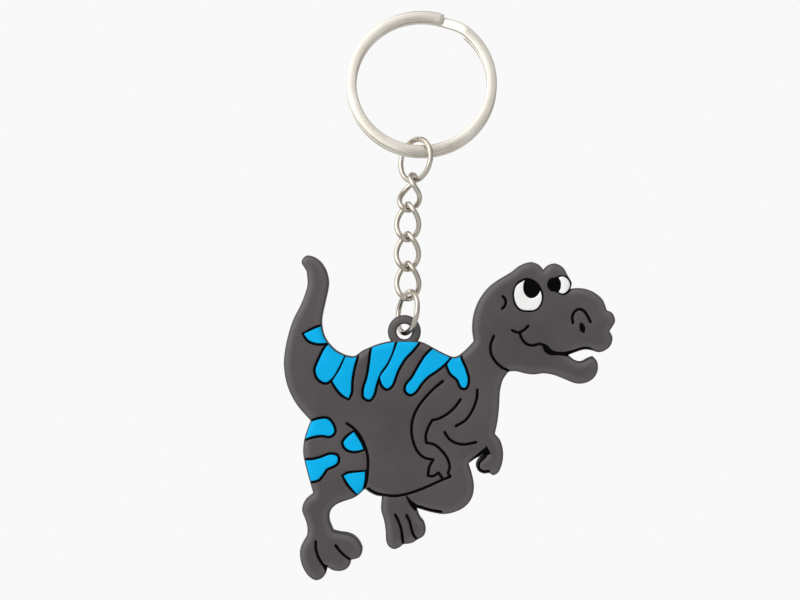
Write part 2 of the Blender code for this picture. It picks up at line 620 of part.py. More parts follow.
def chain_layout():
    """Where every ring and link of the chain is: its centre, axis and the middles of its end wires."""
    layout = {}
    above = None
    for name, kind, lean, top_turn, bottom_turn, room, aside in CHAIN:
        axis = Vector((math.sin(math.radians(lean)), 0, math.cos(math.radians(lean))))
        half_length = JUMP_RADIUS if kind == "jump_ring" else LINK_HALF_LENGTH
        if above is None:
            top = ring_low_point() + Vector((JUMP_RADIUS * axis.x, 0, JUMP_RING_RISE))
        else:
            top = above + Vector((aside, 0, WIRE + WIRE_GAP + room))
        centre = top - axis * half_length
        bottom = centre - axis * half_length
        layout[name] = {"kind": kind, "centre": centre, "axis": axis, "top": top, "bottom": bottom,
                        "turns": (top_turn, bottom_turn)}
        above = bottom
    return layout


def chain_piece(name, place):
    top_turn, bottom_turn = place["turns"]
    if place["kind"] == "jump_ring":
        half_length, half_width, seam, count = JUMP_RADIUS, JUMP_RADIUS, RING_SEAM, 30
    else:
        half_length, half_width, seam, count = LINK_HALF_LENGTH, LINK_HALF_WIDTH, LINK_SEAM, 28
    points = loop_points(place["centre"], place["axis"], half_length, half_width, top_turn, bottom_turn,
                         seam, count)
    return wire(name, points)


# ---------------------------------------------------------------- the figure

def rounded(loop, face, reach, drop):
    """A height function: flat at the face, rolling back by the drop within reach of a loop."""
    def height(points):
        near = np.clip(1 - distance_to(loop, points) / reach, 0, 1)
        return face + drop * (1 - np.sqrt(np.clip(1 - near ** 2, 0, 1)))
    return height


def level(value):
    return lambda points: np.full(len(points), value)


class Figure:
    """The flat design of the figure: its edge, and the area of every coloured filling."""

    def __init__(self):
        self.edge = outline(BODY_EDGE)
        self.body = area(self.edge)
        self.skin = rounded(self.edge, FIGURE_FACE, EDGE_ROUND, EDGE_DROP)
        self.room = area(offset(self.edge, -RIM))
        self.pocket_room = area(offset(self.edge, FIT - RIM))
        self.fillings = {}
        self.pockets = []
        self.add_stripes()
        self.add_lines()
        self.add_eyes()

    def add(self, name, colour, shape, recess=0.0):
        self.fillings[name] = (colour, shape, recess)

    def add_stripes(self):
        loops = {name: outline(runs) for name, runs in STRIPES.items()}
        for name, loop in loops.items():
            self.add(name, "blue_rubber", area(loop) & self.room)
        for border, names in BORDERS.items():
            outer = join(area(offset(loops[name], STRIPE_BORDER)) for name in names)
            inner = join(area(offset(loops[name], FIT)) for name in names)
            grown = join(area(offset(loops[name], STRIPE_BORDER + FIT)) for name in names)
            shape = outer - inner
            if border == "thigh_border":
                line = [ribbon(run, LINE_HALF_WIDTH) for run in LINES["thigh_line"]]
                wide = [ribbon(run, LINE_HALF_WIDTH + FIT) for run in LINES["thigh_line"]]
                shape = (outer | join(area(loop) for loop in line)) - inner
                grown = grown | join(area(loop) for loop in wide)
            self.add(border, "black_rubber", shape & self.room, LINE_RECESS)
            self.pockets.append(grown & self.pocket_room)

    def add_lines(self):
        for name, runs in LINES.items():
            if name == "thigh_line":
                continue
            line = [ribbon(run, LINE_HALF_WIDTH) for run in runs]
            wide = [ribbon(run, LINE_HALF_WIDTH + FIT) for run in runs]
            if name in PATCHES:
                patch = outline(PATCHES[name])
                line.append(patch)
                wide.append(offset(patch, FIT))
            self.add(name, "black_rubber", join(map(area, line)) & self.room, LINE_RECESS)
            self.pockets.append(join(map(area, wide)) & self.pocket_room)
        nostril = outline(NOSTRIL)
        self.add("nostril", "black_rubber", area(nostril), LINE_RECESS)
        self.pockets.append(area(offset(nostril, FIT)))

    def add_eyes(self):
        for side, eye, white in (("left", LEFT_EYE, LEFT_WHITE), ("right", RIGHT_EYE, RIGHT_WHITE)):
            eye, white = outline(eye), outline(white)
            dark = area(eye) - area(offset(white, FIT))
            self.add(side + "_eye_dark", "black_rubber", dark & self.room, LINE_RECESS)
            self.add(side + "_eye_white", "white_rubber", area(white) & self.room)
            self.pockets.append(area(offset(eye, FIT)) & self.pocket_room)

    def skin_points(self, pockets):
        """Points on the rounded edge, clear of the pockets, that carry its curve."""
        points = []
        for reach, spacing in ((0.6, 1), (1.2, 2)):
            ring = offset(self.edge, -reach)
            gap = np.linalg.norm(ring - np.roll(ring, 1, axis=0), axis=1)
            points.extend(ring[gap > 0.3][::spacing])
        points = np.array(points)
        clear = self.body.test(points) & ~pockets.test(points)
        for loop in pockets.loops:
            clear &= distance_to(loop, points) > 0.3
        return points[clear]


def build_figure(colours, joint, hole_place):
    figure = Figure()
    pockets = join(figure.pockets)
    hole = circle((0, 0), HOLE_RADIUS, 20)
    tab = circle((0, 0), TAB_RADIUS, 36)
    floor = FIGURE_FACE + POCKET_DEPTH
    layers = [
        (pockets, level(floor)),
        (figure.body, figure.skin),
        (area(tab) - area(hole), rounded(tab, TAB_FACE, TAB_ROUND, TAB_DROP)),
    ]
    pieces = [(relief("dinosaur_body", layers, FIGURE_BACK, figure.skin_points(pockets)), "grey_rubber")]
    for name, (colour, shape, recess) in figure.fillings.items():
        top = rounded(figure.edge, FIGURE_FACE + recess, EDGE_ROUND, EDGE_DROP)
        pieces.append((relief(name, [(shape, top)], floor - FIT), colour))
    for piece, colour in pieces:
        piece.data.materials.append(colours[colour])
        piece.parent = joint
        piece.location = hole_place * MM


# ---------------------------------------------------------------- assembly

def material(name, colour, roughness, metallic):
    made = bpy.data.materials.new(name)
    made.use_nodes = True
    shader = made.node_tree.nodes["Principled BSDF"]
    shader.inputs["Base Color"].default_value = (*colour, 1)
    shader.inputs["Roughness"].default_value = roughness
    shader.inputs["Metallic"].default_value = metallic
    return made


def joint_places(layout):
    """Where each moving piece turns: on its own end wire, or on the wire of the piece above it."""
    places = {"top_jump_ring": ring_low_point()}
    places["chain_link_1"] = layout["top_jump_ring"]["bottom"]
    places["chain_link_2"] = layout["chain_link_2"]["top"]
    places["chain_link_3"] = layout["chain_link_2"]["bottom"]
    places["chain_link_4"] = layout["chain_link_4"]["top"]
    places["bottom_jump_ring"] = layout["chain_link_4"]["bottom"]
    places["dinosaur"] = layout["bottom_jump_ring"]["bottom"]
    return places


def joint_empties(places):
    """One empty on each joint, each carried by the one above it."""
    empties = {}
    above, origin = None, Vector()
    for name, place in places.items():
        empty = bpy.data.objects.new(name + "_joint", None)
        empty.location = (place - origin) * MM
        empty.parent = above
        bpy.context.scene.collection.objects.link(empty)
        empties[name] = empty
        above, origin = empty, place
    return empties


def clear_scene():
    for piece in list(bpy.data.objects):
        bpy.data.objects.remove(piece, do_unlink=True)


def main():
    clear_scene()
    colours = {name: material(name, *look) for name, look in COLOURS.items()}
    ring = split_ring()
    ring.data.materials.append(colours["nickel"])
    layout = chain_layout()
    places = joint_places(layout)
    empties = joint_empties(places)
    for name, place in layout.items():
        piece = chain_piece(name, place)
        piece.data.materials.append(colours["nickel"])
        piece.parent = empties[name]
        piece.location = -places[name] * MM
    hole = Vector((-WIRE_IN_HOLE[0], 0, -WIRE_IN_HOLE[1]))
    build_figure(colours, empties["dinosaur"], hole)


main()
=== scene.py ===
"""Looks of the soft-rubber dinosaur keychain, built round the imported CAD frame.

Sizes are in millimetres and become metres when a mesh is made. Flat outlines are (x, z) pairs in the
frame's own axes, and levels of the figure are measured along Y from the middle of its hanging tab.
Every outline of the figure is read from the CAD nodes. The wire pieces are rebuilt finer, from the
record's joint places and the same sizes and turns as in part.py.
"""
import json
import math

import bmesh
import bpy
import numpy as np
from mathutils import Matrix, Vector
from mathutils.geometry import delaunay_2d_cdt
from mathutils.kdtree import KDTree


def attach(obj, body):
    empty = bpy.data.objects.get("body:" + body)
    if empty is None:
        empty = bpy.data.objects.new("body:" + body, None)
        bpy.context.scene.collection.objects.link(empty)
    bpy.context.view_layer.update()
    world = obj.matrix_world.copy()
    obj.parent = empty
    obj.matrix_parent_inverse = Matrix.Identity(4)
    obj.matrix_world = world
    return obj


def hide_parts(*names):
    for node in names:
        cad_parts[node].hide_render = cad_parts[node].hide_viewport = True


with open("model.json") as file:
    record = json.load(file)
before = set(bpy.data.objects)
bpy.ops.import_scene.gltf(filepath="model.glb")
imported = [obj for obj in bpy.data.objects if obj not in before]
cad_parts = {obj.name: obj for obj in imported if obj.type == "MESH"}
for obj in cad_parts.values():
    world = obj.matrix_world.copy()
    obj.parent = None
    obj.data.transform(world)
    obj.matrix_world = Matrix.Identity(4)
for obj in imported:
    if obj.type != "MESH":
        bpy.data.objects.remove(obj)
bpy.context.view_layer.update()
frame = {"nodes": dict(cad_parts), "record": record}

MM = 0.001
JOINTS = frame["record"]["behaviour"]["joints"]
JOINT_PLACES = {joint["name"]: Vector(joint["pos_m"]) / MM for joint in JOINTS}
FIGURE_PLANE = JOINT_PLACES["dinosaur_swing"].y

# Levels of the figure along Y: its flat back, coloured face, the tab's face, the bottom of its pockets,
# and a level between face and tab that tells the two apart.
FIGURE_BACK = 1.2
FIGURE_FACE = -2.8
TAB_FACE = -1.2
POCKET_FLOOR = -2.0
SKIN_LEVEL = -1.8

# How far in from each edge its rounding reaches, and how far it drops there. Then how deep the drawn lines
# lie under the face, and how far the fillings clear the pockets' bottoms.
EDGE_REACH = 1.2
EDGE_DROP = 0.9
TAB_REACH = 0.7
TAB_DROP = 0.5
BACK_REACH = 0.3
BACK_DROP = 0.25
SEAM_REACH = 0.3
SEAM_DROP = 0.12
LINE_RECESS = 0.16
FILL_BACK = 0.05

# Spacing of the mesh points along outlines, and how far inside an edge each row of points lies.
EDGE_STEP = 0.35
SEAM_STEP = 0.25
EDGE_ROWS = (0.04, 0.12, 0.28, 0.5, 0.8, 1.2, 1.6)
TAB_ROWS = (0.1, 0.25, 0.45, 0.7)
SEAM_ROWS = (0.06, 0.15, 0.3)
LINE_ROWS = (0.1,)

# What share of its depth a row's point must keep from every edge, and how far rows of one area keep from
# another's edge.
ROW_SHARE = 0.96
ROW_CLEARANCE = 0.05
RIM_CLEARANCE = 0.08

# Reading outlines: a corner's least turn in degrees, the least turn (as a sine) that is a turn at all, the
# least area of an outline, the least slope that faces the viewer, and how near to a level counts as on it.
CORNER_TURN = 48.0
STRAIGHT_TURN = 0.003
SMALLEST_AREA = 0.2
FACING_SHARE = 0.01
LEVEL_TOLERANCE = 1e-3
POINTS_AT_ONCE = 2000

# Where the moulded edge is painted pale as a highlight on its rounding, and where painted shade keeps its
# base dark, from the edge inwards.
HIGHLIGHT_START = 0.1
HIGHLIGHT_FULL = 0.45
HIGHLIGHT_END = 1.6
EDGE_SHADE_REACH = 0.3

# Rubber: how fine its mottling and its specks are, how dark the painted shade at its edge is, and how deep
# its waves and its
# grain are, in metres. Metal: how deep its dents and its scratches are, in metres, and the share of a turn
# between its shine and the way it is brushed.
MOTTLE_SCALE = 65
SPECK_SCALE = 5200
EDGE_SHADE_FACTOR = 0.3
WAVE_DEPTH = 0.00004
GRAIN_DEPTH = 0.00001
DENT_DEPTH = 0.000008
SCRATCH_DEPTH = 0.0000006
QUARTER_TURN = 0.25

# What the camera sees at the level where its width is measured, and the pale background behind it.
CAMERA_LENS = 100.0
VIEW_WIDTH = 149.3
VIEW_LEVEL = -2.0
VIEW_CENTRE = (-4.07, -52.86)
BACKGROUND_SHADE = 0.945

# The floor, in metres, and its colour.
STUDIO_FLOOR_REACH = 3.0
STUDIO_FLOOR_LEVEL = -0.6
STUDIO_FLOOR_COLOUR = (0.9, 0.9, 0.89)

# A near light at the upper left, in metres and watts, and what it points at.
KEY_PLACE = (-0.2, -0.24, 0.16)
KEY_SIZE = 0.5
KEY_POWER = 0.95
KEY_TARGET = (0, 0, -0.055)

# The surroundings' dim band: the way to its middle, and how much narrower than the whole sphere it is
# across and upwards. Then the start, the end and the depth of each fade: out of the band's edge inwards,
# to the right, and downwards.
DIM_BAND_CENTRE = (0, 0, 0.35)
DIM_BAND_STRETCH = (3.4, 0, 1.0)
BAND_FADE = (1.2, 0.2, 0.88)
RIGHT_FADE = (0.1, 0.9, 0.6)
DOWN_FADE = (-0.1, -0.9, 0.8)

# Split ring, jump rings and links, as in part.py, and how far their cut ends are dressed.
RING_OUTER = 14.2
RING_INNER = 12.3
RING_TILT = 12.5
COIL_DEPTH = 1.0
COIL_GAP = 0.06
COIL_SAG = 0.25
RING_END_TURN = 72.0
RING_STEP_TURN = 50.0
WIRE = 1.0
WIRE_GAP = 0.1
SEAM_GAP = 0.1
JUMP_RADIUS = 3.93
LINK_HALF_LENGTH = 3.35
LINK_HALF_WIDTH = 2.15
RING_SEAM = 4.0
LINK_SEAM = 144.0
COIL_END_REACH = 0.15
COIL_END_DROP = 0.1
WIRE_END_REACH = 0.2
WIRE_END_DROP = 0.15
CROWN_SHARES = (-0.75, -0.45, -0.15, 0.15, 0.45, 0.75)

# Each piece of the chain from the top: lean from the vertical, compass turn of its wire at its top and
# at its bottom, extra room over the piece above, and how far to the right of that piece it hangs.
CHAIN = (
    ("top_jump_ring", 7.0, -46.0, -46.0, 0.0, 0.0),
    ("chain_link_1", 8.0, -124.0, 26.0, 0.03, 0.0),
    ("chain_link_2", 1.0, -66.0, 28.0, 0.05, 0.0),
    ("chain_link_3", 0.0, -64.0, 28.0, 0.05, 0.0),
    ("chain_link_4", -1.0, -62.0, 24.0, 0.05, 0.0),
    ("bottom_jump_ring", 8.0, -64.0, -64.0, 0.28, 0.45),
)


# ---------------------------------------------------------------- outlines from the frame

def cad_triangles(node):
    """A figure node's triangles as an array of corners, in millimetres, with Y from the figure's plane."""
    mesh = frame["nodes"][node].data
    mesh.calc_loop_triangles()
    points = np.array([tuple(vertex.co) for vertex in mesh.vertices]) / MM - (0, FIGURE_PLANE, 0)
    corners = np.array([tuple(triangle.vertices) for triangle in mesh.loop_triangles])
    return points[corners].round(4)


def rim_loops(triangles):
    """The closed outlines of a set of triangles that face along Y, as arrays of (x, z)."""
    sides = set()
    for triangle in triangles:
        keys = [(float(corner[0]), float(corner[2])) for corner in triangle]
        sides.update(zip(keys, keys[1:] + keys[:1]))
    onward = {}
    for start, end in sorted(sides):
        if (end, start) not in sides:
            onward.setdefault(start, []).append(end)
    loops = []
    while onward:
        start = next(iter(onward))
        loop = [start]
        while True:
            ends = onward[loop[-1]]
            following = ends.pop()
            if not ends:
                del onward[loop[-1]]
            if following == start:
                break
            loop.append(following)
        loop = drop_straight_points(np.array(loop))
        if enclosed_area(loop) > SMALLEST_AREA:
            loops.append(loop)
    return loops


def enclosed_area(loop):
    """The area inside a loop, whichever way round it runs."""
    after = np.roll(loop, -1, axis=0)
    return abs((loop[:, 0] * after[:, 1] - after[:, 0] * loop[:, 1]).sum()) / 2


def drop_straight_points(loop):
    """The loop without points that lie on the line between their neighbours."""
    before = loop - np.roll(loop, 1, axis=0)
    after = np.roll(loop, -1, axis=0) - loop
    turn = np.abs(before[:, 0] * after[:, 1] - before[:, 1] * after[:, 0])
    size = np.linalg.norm(before, axis=1) * np.linalg.norm(after, axis=1)
    return loop[turn > STRAIGHT_TURN * np.maximum(size, 1e-9)]


def smooth_loop(loop, step):
    """The loop as a smooth curve through its points, sharp only at its real corners."""
    count = len(loop)
    before = loop - np.roll(loop, 1, axis=0)
    after = np.roll(loop, -1, axis=0) - loop
    turn = np.degrees(np.arctan2(before[:, 0] * after[:, 1] - before[:, 1] * after[:, 0],
                                 (before * after).sum(axis=1)))
    corner = np.abs(turn) > CORNER_TURN
    curve = []
    for index in range(count):
        p1, p2 = loop[index], loop[(index + 1) % count]
        p0 = 2 * p1 - p2 if corner[index] else loop[index - 1]
        p3 = 2 * p2 - p1 if corner[(index + 1) % count] else loop[(index + 2) % count]
        t1 = np.linalg.norm(p1 - p0) ** 0.5
        t2 = t1 + np.linalg.norm(p2 - p1) ** 0.5
        t3 = t2 + np.linalg.norm(p3 - p2) ** 0.5
        parts = max(1, math.ceil(np.linalg.norm(p2 - p1) / step))
        t = (t1 + (t2 - t1) * np.arange(parts) / parts)[:, None]
        a1 = (t1 - t) / t1 * p0 + t / t1 * p1
        a2 = (t2 - t) / (t2 - t1) * p1 + (t - t1) / (t2 - t1) * p2
        a3 = (t3 - t) / (t3 - t2) * p2 + (t - t2) / (t3 - t2) * p3
        b1 = (t2 - t) / t2 * a1 + t / t2 * a2
        b2 = (t3 - t) / (t3 - t1) * a2 + (t - t1) / (t3 - t1) * a3
        curve.append((t2 - t) / (t2 - t1) * b1 + (t - t1) / (t2 - t1) * b2)
    return np.concatenate(curve)


class Area:
    """A flat area whose closed loops run the same way round it, with holes run the other way."""

    def __init__(self, loops, step):
        self.loops = [smooth_loop(loop, step) for loop in loops]
        self.near = Nearest(self.loops)

    def holds(self, points):
        """Which points lie inside, by how often the loops wind round each."""
        turns = np.zeros(len(points), int)
        for loop in self.loops:
            after = np.roll(loop, -1, axis=0)
            for first in range(0, len(points), POINTS_AT_ONCE):
                batch = slice(first, first + POINTS_AT_ONCE)
                part = points[batch]
                x, z = part[:, :1], part[:, 1:]
                side = (after[:, 0] - loop[:, 0]) * (z - loop[:, 1]) - (x - loop[:, 0]) * (
                    after[:, 1] - loop[:, 1])
                up = (loop[:, 1] <= z) & (after[:, 1] > z) & (side > 0)
                down = (loop[:, 1] > z) & (after[:, 1] <= z) & (side < 0)
                turns[batch] += up.sum(axis=1) - down.sum(axis=1)
        return turns != 0

    def rows(self, depths):
        """Points inside the area, in a row at each depth from its edge."""
        found = self.rows_both_ways(depths)
        return found[self.holds(found)]

    def rows_around(self, depth):
        """Points outside the area, in a row at one depth from its edge."""
        found = self.rows_both_ways((depth,))
        return found[~self.holds(found)]

    def rows_both_ways(self, depths):
        found = []
        for loop in self.loops:
            ahead = np.roll(loop, -1, axis=0) - np.roll(loop, 1, axis=0)
            ahead /= np.maximum(np.linalg.norm(ahead, axis=1, keepdims=True), 1e-9)
            for depth in depths:
                for way in (1, -1):
                    row = loop + np.stack([-ahead[:, 1], ahead[:, 0]], axis=1) * depth * way
                    found.append(row[self.near.distance(row) > depth * ROW_SHARE])
        return np.concatenate(found)


class Nearest:
    """Distance from points to the nearest side of closed loops whose points are close together."""

    def __init__(self, loops):
        self.points = np.concatenate(loops)
        sizes = [len(loop) for loop in loops]
        firsts = np.cumsum([0] + sizes[:-1])
        self.after = np.concatenate([first + (np.arange(size) + 1) % size
                                     for first, size in zip(firsts, sizes)])
        self.before = np.concatenate([first + (np.arange(size) - 1) % size
                                      for first, size in zip(firsts, sizes)])
        self.tree = KDTree(len(self.points))
        for index, (x, z) in enumerate(self.points):
            self.tree.insert((x, z, 0), index)
        self.tree.balance()

    def distance(self, points):
        if not len(points):
            return np.zeros(0)
        close = np.array([[found[1] for found in self.tree.find_n((x, z, 0), 3)] for x, z in points])
        best = np.full(len(points), np.inf)
        for column in range(close.shape[1]):
            here = close[:, column]
            for other in (self.before[here], self.after[here]):
                start, side = self.points[here], self.points[other] - self.points[here]
                along = ((points - start) * side).sum(axis=1) / np.maximum((side ** 2).sum(axis=1), 1e-12)
                gap = start + np.clip(along, 0, 1)[:, None] * side - points
                best = np.minimum(best, np.linalg.norm(gap, axis=1))
        return best


def round_over(distance, reach, drop):
    """How far a rounded edge has dropped at each distance from it."""
    near = np.clip(1 - distance / reach, 0, 1)
    return drop * (1 - np.sqrt(np.clip(1 - near ** 2, 0, 1)))


# ---------------------------------------------------------------- moulded pieces

def relief(name, layers, back, extra):
    """A closed piece. Each layer is an area and its front height, and the first that holds a point wins."""
    points, edges = [], []
    for area, _ in layers:
        for loop in area.loops:
            first = len(points)
            points.extend(Vector(point) for point in loop.tolist())
            edges.extend((first + i, first + (i + 1) % len(loop)) for i in range(len(loop)))
    points.extend(Vector(point) for point in extra.tolist())
    corners, _, faces, _, _, _ = delaunay_2d_cdt(points, edges, [], 0, 1e-5)
    corners = np.array([tuple(corner) for corner in corners])
    faces = np.array([tuple(face) for face in faces])
    middles = corners[faces].mean(axis=1)
    label = np.full(len(faces), -1)
    for number in reversed(range(len(layers))):
        label[layers[number][0].holds(middles)] = number
    fronts = [height(corners).round(5) for _, height in layers]
    backs = back(corners).round(5)

    mesh = bmesh.new()
    made = {}

    def vertex(corner, height):
        key = (corner, float(height))
        if key not in made:
            x, z = corners[corner]
            made[key] = mesh.verts.new((x * MM, (FIGURE_PLANE + float(height)) * MM, z * MM))
        return made[key]

    sides = {}
    levels = {}
    for face, number in zip(faces.tolist(), label):
        if number < 0:
            continue
        mesh.faces.new([vertex(corner, fronts[number][corner]) for corner in face])
        mesh.faces.new([vertex(corner, backs[corner]) for corner in reversed(face)])
        for first, second in zip(face, face[1:] + face[:1]):
            sides[(first, second)] = number
            levels.setdefault(first, {float(backs[first])}).add(float(fronts[number][first]))

    for (first, second), number in sides.items():
        beyond = sides.get((second, first), -1)
        if beyond == number:
            continue
        below = backs if beyond == -1 else fronts[beyond]
        upper = [float(fronts[number][corner]) for corner in (first, second)]
        lower = [float(below[corner]) for corner in (first, second)]
        if sum(lower) <= sum(upper):
            continue
        wall = []
        for corner, top, bottom in ((first, upper[0], lower[0]), (second, upper[1], lower[1])):
            between = sorted(level for level in levels[corner] if top + 1e-6 < level < bottom - 1e-6)
            column = [vertex(corner, level) for level in [top, *between, bottom]]
            wall += column if corner == first else column[::-1]
        wall = list(dict.fromkeys(wall))
        if len(wall) > 2:
            mesh.faces.new(wall)
    return finish_mesh(name, mesh)


def finish_mesh(name, mesh, sharp_angle=40.0):
    """The mesh as an object in the scene, smooth but for its sharp edges."""
    bmesh.ops.recalc_face_normals(mesh, faces=mesh.faces[:])
    data = bpy.data.meshes.new(name)
    mesh.to_mesh(data)
    mesh.free()
    data.shade_smooth()
    data.set_sharp_from_angle(angle=math.radians(sharp_angle))
    piece = bpy.data.objects.new(name, data)
    bpy.context.scene.collection.objects.link(piece)
    return piece


def paint(piece, attribute, values):
    """Keep one number for each vertex of a piece, for its material to read."""
    stored = piece.data.attributes.new(attribute, "FLOAT", "POINT")
    stored.data.foreach_set("value", np.asarray(values, np.float32))


def flat_points(piece):
    """The (x, z) of each vertex of a piece, in millimetres."""
    points = np.array([tuple(vertex.co) for vertex in piece.data.vertices]) / MM
    return points[:, [0, 2]]


def build_body():
    """The grey figure with its pockets and tab, and the area that its coloured face covers."""
    triangles = cad_triangles("dinosaur_body")
    normal = np.cross(triangles[:, 1] - triangles[:, 0], triangles[:, 2] - triangles[:, 0])
    facing = normal[:, 1] < -FACING_SHARE * np.linalg.norm(normal, axis=1)
    deepest = triangles[:, :, 1].max(axis=1)
    level = np.ptp(triangles[:, :, 1], axis=1) < LEVEL_TOLERANCE
    floor = facing & level & (np.abs(deepest - POCKET_FLOOR) < LEVEL_TOLERANCE)
    torso = Area(rim_loops(triangles[facing & (deepest < SKIN_LEVEL)]), EDGE_STEP)
    pockets = Area(rim_loops(triangles[floor]), SEAM_STEP)
    tab = Area(rim_loops(triangles[facing & (deepest > SKIN_LEVEL)]), EDGE_STEP)
    backmost = triangles[:, :, 1].min(axis=1) > FIGURE_BACK - 0.01
    outside = Area(rim_loops(triangles[~facing & backmost]), EDGE_STEP)

    def skin(points):
        edge = round_over(torso.near.distance(points), EDGE_REACH, EDGE_DROP)
        seam = round_over(pockets.near.distance(points), SEAM_REACH, SEAM_DROP)
        return FIGURE_FACE + np.maximum(edge, seam)

    def tab_face(points):
        return TAB_FACE + round_over(outside.near.distance(points), TAB_REACH, TAB_DROP)

    def back(points):
        return FIGURE_BACK - round_over(outside.near.distance(points), BACK_REACH, BACK_DROP)

    rows = [torso.rows(EDGE_ROWS), tab.rows(TAB_ROWS)]
    for depth in SEAM_ROWS:
        ring = pockets.rows_around(depth)
        rows.append(ring[torso.holds(ring) & (torso.near.distance(ring) > ROW_CLEARANCE)])
    extra = np.concatenate(rows)
    layers = [(pockets, lambda points: np.full(len(points), POCKET_FLOOR)), (torso, skin), (tab, tab_face)]
    piece = relief("rubber_body", layers, back, extra)
    # A pale band painted inside the outer edge stands for the highlight on its rounding, and a dark band at
    # the very edge is painted shade.
    reach = outside.near.distance(flat_points(piece))
    paint(piece, "edge_highlight", np.interp(reach, (HIGHLIGHT_START, HIGHLIGHT_FULL, HIGHLIGHT_END), (0, 1, 0)))
    paint(piece, "edge_shade", np.clip(1 - reach / EDGE_SHADE_REACH, 0, 1))
    return piece, torso


def build_filling(node, slot, torso):
    """One coloured shape in its pocket: flush with the face, or a little lower where it is a line."""
    triangles = cad_triangles(node)
    flat = triangles[:, :, 1].min(axis=1) > triangles[:, :, 1].max() - LEVEL_TOLERANCE
    area = Area(rim_loops(triangles[flat]), SEAM_STEP)
    line = slot == "black_rubber"

    def front(points):
        edge = round_over(torso.near.distance(points), EDGE_REACH, EDGE_DROP)
        if line:
            return FIGURE_FACE + LINE_RECESS + edge
        seam = round_over(area.near.distance(points), SEAM_REACH, SEAM_DROP)
        return FIGURE_FACE + np.maximum(edge, seam)

    def back(points):
        return np.full(len(points), POCKET_FLOOR - FILL_BACK)

    extra = area.rows(LINE_ROWS if line else SEAM_ROWS)
    rim_rows = torso.rows(EDGE_ROWS[2:])
    clear = area.holds(rim_rows) & (area.near.distance(rim_rows) > RIM_CLEARANCE)
    extra = np.concatenate([extra, rim_rows[clear]])
    return relief("fill_" + node, [(area, front)], back, extra)


# ---------------------------------------------------------------- wire pieces

def sweep(name, frames, sections):
    """A closed solid along a path of (point, across, up), with one section of (u, v) pairs each."""
    mesh = bmesh.new()
    rings = []
    for (point, across, up), section in zip(frames, sections):
        rings.append([mesh.verts.new((point + across * u + up * v) * MM) for u, v in section])
    for ring, following in zip(rings, rings[1:]):
        for index in range(len(ring)):
            after = (index + 1) % len(ring)
            mesh.faces.new((ring[index], ring[after], following[after], following[index]))
    mesh.faces.new(rings[0])
    mesh.faces.new(reversed(rings[-1]))
    return finish_mesh(name, mesh)


def compass(turn):
    """A level direction, in degrees from +X towards +Y."""
    return Vector((math.cos(math.radians(turn)), math.sin(math.radians(turn)), 0))


def oval_wire(name, centre, axis, half_length, half_width, turns, seam, count=200, sides=24):
    """A loop of round wire, twisted about its long axis and cut at its seam, with dressed ends."""
    top_turn, bottom_turn = turns
    gap = math.degrees(SEAM_GAP / 2 / half_length)
    points = []
    for index in range(count + 1):
        turn = math.radians(seam + gap + (360 - 2 * gap) * index / count)
        share = (1 + math.cos(turn)) / 2
        sideways = compass(bottom_turn + (top_turn - bottom_turn) * share)
        points.append(centre + axis * half_length * math.cos(turn) + sideways * half_width * math.sin(turn))
    frames, across = [], None
    for index, point in enumerate(points):
        ahead = (points[min(index + 1, count)] - points[max(index - 1, 0)]).normalized()
        across = across or ahead.orthogonal().normalized()
        across = (across - ahead * across.dot(ahead)).normalized()
        frames.append((point, across, ahead.cross(across)))
    step = (points[1] - points[0]).length
    sections = []
    for index in range(count + 1):
        end = min(index, count - index) * step
        radius = WIRE / 2 - round_over(np.array([end]), WIRE_END_REACH, WIRE_END_DROP)[0]
        sections.append([(radius * math.cos(2 * math.pi * k / sides),
                          radius * math.sin(2 * math.pi * k / sides)) for k in range(sides)])
    return sweep(name, frames, sections)


def build_chain():
    """Each ring and link, hung from the bottom of the one above."""
    pieces = {}
    above = None
    for name, lean, top_turn, bottom_turn, room, aside in CHAIN:
        axis = Vector((math.sin(math.radians(lean)), 0, math.cos(math.radians(lean))))
        ring = "jump_ring" in name
        half_length, half_width = (JUMP_RADIUS,) * 2 if ring else (LINK_HALF_LENGTH, LINK_HALF_WIDTH)
        if above is None:
            centre = JOINT_PLACES["chain_link_1_swing"] + axis * half_length
        else:
            centre = above + Vector((aside, 0, WIRE + WIRE_GAP + room)) - axis * half_length
        pieces[name] = oval_wire("wire_" + name, centre, axis, half_length, half_width,
                                 (top_turn, bottom_turn), RING_SEAM if ring else LINK_SEAM)
        above = centre - axis * half_length
    return pieces


def build_split_ring(count=560):
    """Flat wire that goes round once in front, steps back past its own end, and round once behind."""
    middle, half_width = (RING_OUTER + RING_INNER) / 2, (RING_OUTER - RING_INNER) / 2
    front = -(COIL_DEPTH + COIL_GAP) / 2
    tilt = Matrix.Rotation(-math.radians(RING_TILT), 3, "X")
    step = RING_END_TURN - RING_STEP_TURN
    lap = 360 - step
    total = 2 * lap + step
    frames, sections = [], []
    for index in range(count + 1):
        station = total * index / count
        turn = math.radians(RING_END_TURN + station)
        outward = Vector((math.cos(turn), 0, math.sin(turn)))
        share = min(max((station - lap) / step, 0), 1)
        ease = share * share * (3 - 2 * share)
        point = outward * middle + Vector((0, front * (1 - 2 * ease), -RING_INNER - COIL_SAG * ease))
        frames.append((tilt @ point, tilt @ outward, tilt @ Vector((0, 1, 0))))
        end = math.radians(min(station, total - station)) * middle
        trim = round_over(np.array([end]), COIL_END_REACH, COIL_END_DROP)[0]
        sections.append(flat_wire_section(half_width - trim, COIL_DEPTH / 2 - trim))
    return sweep("coil_split_ring", frames, sections)


